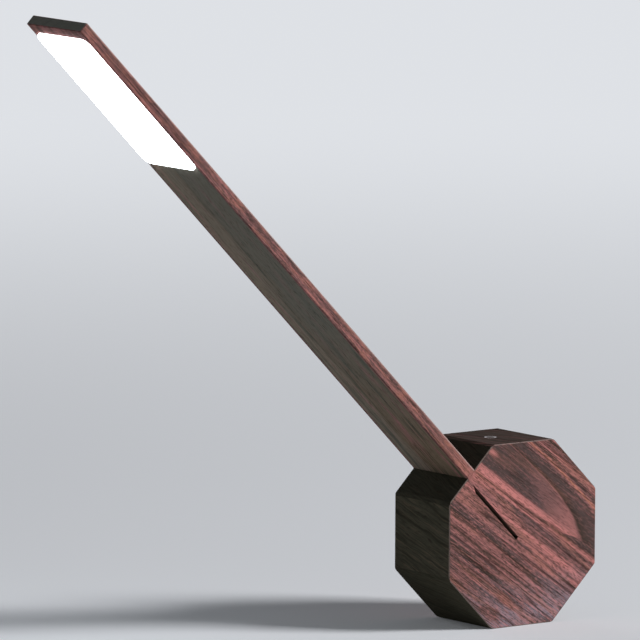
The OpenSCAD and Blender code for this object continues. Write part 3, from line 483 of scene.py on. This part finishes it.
def rosewood_arm(wood):
    """Rosewood, planed and oiled: the face's figure runs on where the arm fills the slot's front."""
    material, tree, shader = new_material("rosewood board, arm")
    point = surface_point(tree, BASE_CENTRE)
    normal = add(tree, "ShaderNodeTexCoord", out="Normal")
    arm_along, arm_across, height, backward, ending = (
        add(
            tree, "ShaderNodeVectorMath", {0: vector, 1: tuple(way)}, out="Value",
            operation="DOT_PRODUCT",
        )
        for vector, way in (
            (point, ARM_ALONG), (point, ARM_UP + Vector(TO_BACK)), (point, ARM_UP), (normal, TO_BACK),
            (normal, ARM_ALONG),
        )
    )
    on_edge = add(tree, "ShaderNodeMath", {0: backward, 1: -SQUARE_ON}, operation="LESS_THAN")
    in_slot = add(
        tree, "ShaderNodeMapRange", {"Value": arm_along, "From Min": MOUTH + 2, "From Max": MOUTH - 2}
    )
    in_slot = add(tree, "ShaderNodeMath", {0: in_slot, 1: on_edge}, operation="MULTIPLY")
    face_along, face_across = face_ways(tree, point, wood)
    figure, busy = figure_tone(tree, face_along, face_across, wood)
    along, across, busy = (
        add(tree, "ShaderNodeMix", {0: in_slot, NUMBER_A: arm, NUMBER_B: face}, data_type="FLOAT")
        for arm, face in ((arm_along, face_along), (arm_across, face_across), (0.7, busy))
    )
    broad = streaks(tree, arm_along, arm_across, 180, 5, 33.0, 3.0)
    stops = [(0.34, wood.brown), (0.46, wood.mauve), (0.54, wood.mauve), (0.66, wood.rose)]
    board = add(tree, "ShaderNodeValToRGB", {0: broad}, stops=stops)
    # The front edge is cut across the bands, which show there as orange and brown patches
    patch = streaks(tree, arm_along, arm_across, 14, 2.4, 66.0)
    line = streaks(tree, arm_along, arm_across, 25, 1.0, 61.0, 2.0)
    layers = (
        ("amber", arm_along, MOUTH + 50, MOUTH, 0.35),
        ("amber", patch, 0.5, 0.6, 0.34),
        ("brown", patch, 0.46, 0.36, 0.26),
        ("dark", line, 0.46, 0.36, 0.26),
        ("salmon", line, 0.54, 0.63, 0.3),
    )
    board = lay_layers(tree, board, wood, layers, on_edge)
    # The orange of the edge runs a little way into the slot, to a point
    off_point = add(tree, "ShaderNodeMath", {0: face_across, 1: 8.2}, operation="SUBTRACT")
    off_point = add(tree, "ShaderNodeMath", {0: off_point}, operation="ABSOLUTE")
    point_in = add(
        tree, "ShaderNodeMath", {0: off_point, 1: 6.0, 2: face_along}, operation="MULTIPLY_ADD"
    )
    figure = lay_over(tree, figure, wood.salmon, point_in, -20, -40, 0.7)
    tone = add(
        tree, "ShaderNodeMix", {0: in_slot, MIX_A: board, MIX_B: figure}, out=MIX_RESULT, data_type="RGBA"
    )
    tone = warm_streaks(tree, tone, along, across, wood, busy)
    # Painted light: the tip's end face is painted pale grey as if lit by the panel's glow, and the front
    # edge gets a painted highlight where it meets the top
    tone = lay_over(tree, tone, wood.pale_grey_and_tip_glow, ending, 0.8, 0.9, 1.0)
    # Painted highlight along the arm's front edge where it meets the top, outside the base
    front = add(tree, "ShaderNodeMath", {0: backward, 1: -0.6}, operation="LESS_THAN")
    outside = add(tree, "ShaderNodeMath", {0: arm_along, 1: MOUTH}, operation="GREATER_THAN")
    front = add(tree, "ShaderNodeMath", {0: front, 1: outside}, operation="MULTIPLY")
    tone = lay_over(tree, tone, wood.painted_edge_highlight, height, ARM_TOP - 1.1, ARM_TOP - 0.3, 0.6, front)
    oil_finish(tree, shader, tone, along, across, wood)
    return material


def rosewood_underside(wood):
    """Thin rosewood panel from a plainer cut, oiled: broad olive streaks with little contrast."""
    material, tree, shader = new_material("rosewood panel, underside")
    point = surface_point(tree, BASE_CENTRE)
    along, across = (
        add(tree, "ShaderNodeVectorMath", {0: point, 1: tuple(way)}, out="Value", operation="DOT_PRODUCT")
        for way in (ARM_ALONG, TO_BACK)
    )
    bands = ("shade", "straw", "straw", "rose")
    tone = plain_veneer(tree, along, across, wood, bands, "straw", 47.0, 60, 5)
    # The panel is brown near the base, pale along the back, and smooth and grey elsewhere, greyer toward
    # the head: partly the wood's tone, partly painted glow of the panel
    wander = streaks(tree, along, across, 70, 12, 58.0)
    backward = add(tree, "ShaderNodeMath", {0: wander, 1: 24.0, 2: across}, operation="MULTIPLY_ADD")
    middle = add(tree, "ShaderNodeMapRange", {"Value": backward, "From Min": 28, "From Max": 12})
    tone = lay_over(tree, tone, wood.ash, along, MOUTH + 20, MOUTH + 130, 0.72, middle)
    tone = lay_over(tree, tone, wood.pale_grey_and_tip_glow, backward, 17, 25, 0.22)
    oil_finish(tree, shader, tone, along, across, wood)
    return material


def two_toned(tree, shader, noise, low, high, rough_low, rough_high):
    """Colours a shader between two tones, and its roughness between two values, by a noise."""
    tone = lay_over(tree, (*low, 1), high, noise, 0.35, 0.65, 1.0)
    rough = add(
        tree, "ShaderNodeMapRange",
        {"Value": noise, "From Min": 0.3, "From Max": 0.7, "To Min": rough_low, "To Max": rough_high},
    )
    tree.links.new(tone, shader.inputs["Base Color"])
    tree.links.new(rough, shader.inputs["Roughness"])


def moulded_abs(name, code):
    """Black ABS from a spark-eroded mould: a fine even grain and a low sheen."""
    material, tree, shader = new_material(name)
    # The grain is about 0.1 mm across, and is drawn 0.4 mm across so that it shows
    grit = add(
        tree, "ShaderNodeTexNoise", {"Vector": surface_point(tree), "Scale": 1 / 0.4, "Detail": 2.0}
    )
    tone = linear(code)
    two_toned(tree, shader, grit, tone, [1.5 * c for c in tone], 0.5, 0.66)
    shader.inputs["IOR"].default_value = 1.52
    relief = add(tree, "ShaderNodeBump", {"Strength": 0.2, "Distance": 0.05 * MM, "Height": grit})
    tree.links.new(relief, shader.inputs["Normal"])
    return material


def worked_metal(name, code, rough, length, width, direction=(1, 0, 0)):
    """A bare or plated metal whose last tool left fine lines of a length and a width in mm."""
    material, tree, shader = new_material(name)
    point = surface_point(tree)
    along, across = (
        add(tree, "ShaderNodeVectorMath", {0: point, 1: tuple(way)}, out="Value", operation="DOT_PRODUCT")
        for way in (direction, (0.3, 1, 0.5))
    )
    # Tool lines are about 0.05 mm wide, and are given wider so that they show
    lines = streaks(tree, along, across, length, width, 2.0)
    tone = linear(code)
    two_toned(tree, shader, lines, [0.72 * c for c in tone], tone, rough + 0.1, rough - 0.06)
    shader.inputs["Metallic"].default_value = 1.0
    relief = add(tree, "ShaderNodeBump", {"Strength": 0.15, "Distance": 0.03 * MM, "Height": lines})
    tree.links.new(relief, shader.inputs["Normal"])
    return material


def plain_sheet(name, code, second, rough, cell):
    """A moulded, printed or coated sheet with a soft mottle of a size in mm."""
    material, tree, shader = new_material(name)
    mottle = add(
        tree, "ShaderNodeTexNoise", {"Vector": surface_point(tree), "Scale": 1 / cell, "Detail": 3.0}
    )
    two_toned(tree, shader, mottle, linear(code), linear(second), rough - 0.06, rough + 0.06)
    return material


def opal_acrylic(light):
    """Opal acrylic, cast and lit from behind: an even white glow that hides the chips."""
    material, tree, shader = new_material("opal acrylic, lit")
    haze = add(
        tree, "ShaderNodeTexNoise", {"Vector": surface_point(tree), "Scale": 1 / 16, "Detail": 1.0}
    )
    two_toned(tree, shader, haze, linear("#eef4f6"), linear("#f6fafb"), 0.32, 0.38)
    shader.inputs["Emission Color"].default_value = (*light.panel, 1)
    shader.inputs["Emission Strength"].default_value = light.strength
    return material


class LAMP_OT_base_wood(bpy.types.Operator):
    """Veneer the housing and its back cover"""

    bl_idname = "lamp.base_wood"
    bl_label = "Base wood"

    def execute(self, context):
        wood = context.scene.lamp_wood
        paint(rosewood_base(wood, "rosewood veneer, figured", 1), "base_housing")
        paint(rosewood_base(wood, "rosewood veneer, back", -1), "back_cover")
        return {"FINISHED"}


class LAMP_OT_arm_wood(bpy.types.Operator):
    """Veneer the arm and its underside"""

    bl_idname = "lamp.arm_wood"
    bl_label = "Arm wood"

    def execute(self, context):
        wood = context.scene.lamp_wood
        paint(rosewood_arm(wood), "arm_tray")
        paint(rosewood_underside(wood), "arm_underside")
        return {"FINISHED"}


class LAMP_OT_fittings(bpy.types.Operator):
    """Finish the metal and plastic fittings of the base and the arm"""

    bl_idname = "lamp.fittings"
    bl_label = "Fittings"

    def execute(self, context):
        zinc = worked_metal("zinc plated steel", "#c4c6c9", 0.3, 6, 0.4)
        paint(
            zinc, "cover_screws", "socket_screws", "ballast_screws", "tray_screws", "board_screws",
            "retaining_spring", "usb_inlet",
        )
        paint(worked_metal("anodised aluminium", "#d5d7d9", 0.34, 20, 0.3, ARM_ALONG), "arm_core")
        paint(worked_metal("anodised aluminium, grey", "#aea3a3", 0.34, 20, 0.3, ARM_ALONG), "touch_ring")
        paint(worked_metal("sawn steel", "#85888c", 0.45, 60, 0.8, (0.6, 0, 1)), "ballast_weight")
        brass = worked_metal("plated brass", "#d9b35a", 0.26, 4, 0.3)
        paint(brass, "front_contact_pin", "rear_contact_pin", "contact_pads", "board_posts")
        copper = worked_metal("rolled copper", "#c8764e", 0.32, 30, 0.5, ARM_ALONG)
        paint(copper, "touch_pad", "arm_leads")
        black = moulded_abs("moulded ABS, black", "#1b1b1c")
        paint(
            black, "arm_socket", "contact_block", "battery_tray", "arm_heel", "switch_body",
            "switch_slider", "board_components",
        )
        return {"FINISHED"}


class LAMP_OT_electrics(bpy.types.Operator):
    """Finish the boards, cells and leads"""

    bl_idname = "lamp.electrics"
    bl_label = "Electrics"

    def execute(self, context):
        paint(plain_sheet("green solder mask", "#1d5a38", "#246b43", 0.38, 1.2), "main_board")
        paint(plain_sheet("white solder mask", "#eceeee", "#f3f4f4", 0.42, 1.5), "led_board")
        paint(plain_sheet("phosphor resin", "#eede94", "#f4e8ac", 0.3, 0.8), "led_chips")
        paint(plain_sheet("white polyester film", "#f0f2f2", "#f6f7f7", 0.5, 2.5), "reflector_film")
        paint(plain_sheet("laminated cell foil", "#98a0a8", "#a8b0b7", 0.34, 3.0), "battery_cells")
        sleeve = plain_sheet("extruded PVC, red", "#8d2320", "#9a2b27", 0.42, 1.0)
        paint(sleeve, "touch_lead", "battery_leads", "contact_leads")
        return {"FINISHED"}


class LAMP_OT_panel(bpy.types.Operator):
    """Light the opal panel under the head of the arm"""

    bl_idname = "lamp.panel"
    bl_label = "Light panel"

    def execute(self, context):
        paint(opal_acrylic(context.scene.lamp_light), "diffuser")
        return {"FINISHED"}


def seen_directly(tree):
    """1 for what the camera sees by itself, in a reflection or through glass, and 0 for other light."""
    path = add(tree, "ShaderNodeLightPath").node.outputs
    mirrored = add(
        tree, "ShaderNodeMath", {0: path["Is Camera Ray"], 1: path["Is Glossy Ray"]}, operation="MAXIMUM"
    )
    return add(
        tree, "ShaderNodeMath", {0: mirrored, 1: path["Is Transmission Ray"]}, operation="MAXIMUM"
    )


def make_floor(stage):
    """A wide pale floor: paper that takes the lamp's shadow, and farther out an even backdrop."""
    mesh = bpy.data.meshes.new("floor")
    made = bmesh.new()
    bmesh.ops.create_circle(made, cap_ends=True, segments=64, radius=FLOOR_RADIUS)
    made.to_mesh(mesh)
    made.free()
    floor = bpy.data.objects.new("floor", mesh)
    bpy.context.scene.collection.objects.link(floor)
    material = bpy.data.materials.new("pale paper")
    material.use_nodes = True
    tree = material.node_tree
    tree.nodes.clear()
    matte = add(tree, "ShaderNodeBsdfDiffuse", {"Color": (*stage.floor, 1)})
    faint = add(tree, "ShaderNodeEmission", {"Color": (*stage.floor, 1), "Strength": stage.paper_glow})
    paper = add(tree, "ShaderNodeAddShader", {0: matte, 1: faint})
    backdrop = add(tree, "ShaderNodeEmission", {"Color": (*stage.floor, 1), "Strength": BACKDROP})
    place = add(tree, "ShaderNodeTexCoord", out="Object")
    away = add(tree, "ShaderNodeVectorMath", {0: place}, out="Value", operation="LENGTH")
    far = add(
        tree, "ShaderNodeMapRange",
        {"Value": away, "From Min": PAPER_END, "From Max": BACKDROP_START},
        interpolation_type="SMOOTHSTEP",
    )
    far = add(tree, "ShaderNodeMath", {0: far, 1: seen_directly(tree)}, operation="MULTIPLY")
    both = add(tree, "ShaderNodeMixShader", {0: far, 1: paper, 2: backdrop})
    add(tree, "ShaderNodeOutputMaterial", {"Surface": both})
    mesh.materials.append(material)


def make_world(stage):
    """A pale backdrop for the camera and a weak even light for everything else."""
    world = bpy.data.worlds.new("studio")
    world.use_nodes = True
    bpy.context.scene.world = world
    tree = world.node_tree
    tree.nodes.clear()
    even = add(
        tree, "ShaderNodeBackground", {"Color": (*stage.even_tone, 1), "Strength": stage.even_strength}
    )
    shown = add(tree, "ShaderNodeBackground", {"Color": (*stage.floor, 1), "Strength": BACKDROP})
    both = add(tree, "ShaderNodeMixShader", {0: seen_directly(tree), 1: even, 2: shown})
    add(tree, "ShaderNodeOutputWorld", {"Surface": both})


def outward(turn, rise):
    """The direction away from the lamp, by its turn to the right of the front and its rise."""
    return Vector((math.sin(turn) * math.cos(rise), -math.cos(turn) * math.cos(rise), math.sin(rise)))


def make_light(stage, name, turn, rise, power):
    """A square studio light that looks at the middle of the lamp."""
    away = outward(turn, rise)
    data = bpy.data.lights.new(name, "AREA")
    data.size = stage.key_size
    data.energy = power
    data.color = stage.key_tone
    light = bpy.data.objects.new(name, data)
    light.location = LAMP_MIDDLE + away * stage.key_distance
    light.rotation_euler = away.to_track_quat("Z", "Y").to_euler()
    light.visible_camera = False
    bpy.context.scene.collection.objects.link(light)


def make_camera(stage):
    """The photograph's camera."""
    back = outward(stage.azimuth, stage.elevation)
    right = Vector(TO_TOP).cross(back).normalized()
    up = back.cross(right)
    tilted_right = math.cos(stage.roll) * right + math.sin(stage.roll) * up
    tilted_up = math.cos(stage.roll) * up - math.sin(stage.roll) * right
    data = bpy.data.cameras.new("camera")
    data.sensor_width = SENSOR
    data.lens = stage.lens
    data.clip_end = 100
    camera = bpy.data.objects.new("camera", data)
    axes = Matrix((tilted_right, tilted_up, back)).transposed().to_4x4()
    camera.matrix_world = Matrix.Translation(Vector(stage.aim) + back * stage.distance) @ axes
    bpy.context.scene.collection.objects.link(camera)
    bpy.context.scene.camera = camera


class LAMP_OT_stage(bpy.types.Operator):
    """Set the floor, the studio lights and the camera"""

    bl_idname = "lamp.stage"
    bl_label = "Stage"

    def execute(self, context):
        stage = context.scene.lamp_stage
        context.scene.view_settings.view_transform = "Standard"
        make_floor(stage)
        make_world(stage)
        make_light(stage, "key", stage.key_azimuth, stage.key_elevation, stage.key_power)
        # The fill stands low behind the lamp, so it reaches the back but hardly the floor or the top
        make_light(stage, "fill", math.pi, stage.fill_elevation, stage.key_power * stage.fill_share)
        make_camera(stage)
        return {"FINISHED"}


class LAMP_PT_looks(bpy.types.Panel):
    """Lists the steps that dress the lamp"""

    bl_idname = "LAMP_PT_looks"
    bl_label = "Desk lamp"
    bl_space_type = "VIEW_3D"
    bl_region_type = "UI"
    bl_category = "Desk lamp"

    def draw(self, context):
        for step in STEPS:
            self.layout.operator(step.bl_idname)
        for group in GROUPS:
            settings = getattr(context.scene, group)
            for name in settings.__annotations__:
                self.layout.prop(settings, name)


STEPS = (
    LAMP_OT_base_wood, LAMP_OT_arm_wood, LAMP_OT_fittings, LAMP_OT_electrics, LAMP_OT_panel,
    LAMP_OT_stage,
)
GROUPS = {"lamp_wood": LampWood, "lamp_light": LampLight, "lamp_stage": LampStage}
CLASSES = (*GROUPS.values(), *STEPS, LAMP_PT_looks)


def register():
    """Registers the classes and hangs their settings on the scene."""
    for each in CLASSES:
        bpy.utils.register_class(each)
    for name, group in GROUPS.items():
        setattr(bpy.types.Scene, name, PointerProperty(type=group))


def unregister():
    """Takes the settings off the scene and unregisters the classes."""
    for name in GROUPS:
        delattr(bpy.types.Scene, name)
    for each in reversed(CLASSES):
        bpy.utils.unregister_class(each)


def main():
    """Dresses the lamp step by step."""
    register()
    bpy.ops.lamp.base_wood()
    bpy.ops.lamp.arm_wood()
    bpy.ops.lamp.fittings()
    bpy.ops.lamp.electrics()
    bpy.ops.lamp.panel()
    bpy.ops.lamp.stage()


if __name__ == "__main__":
    main()
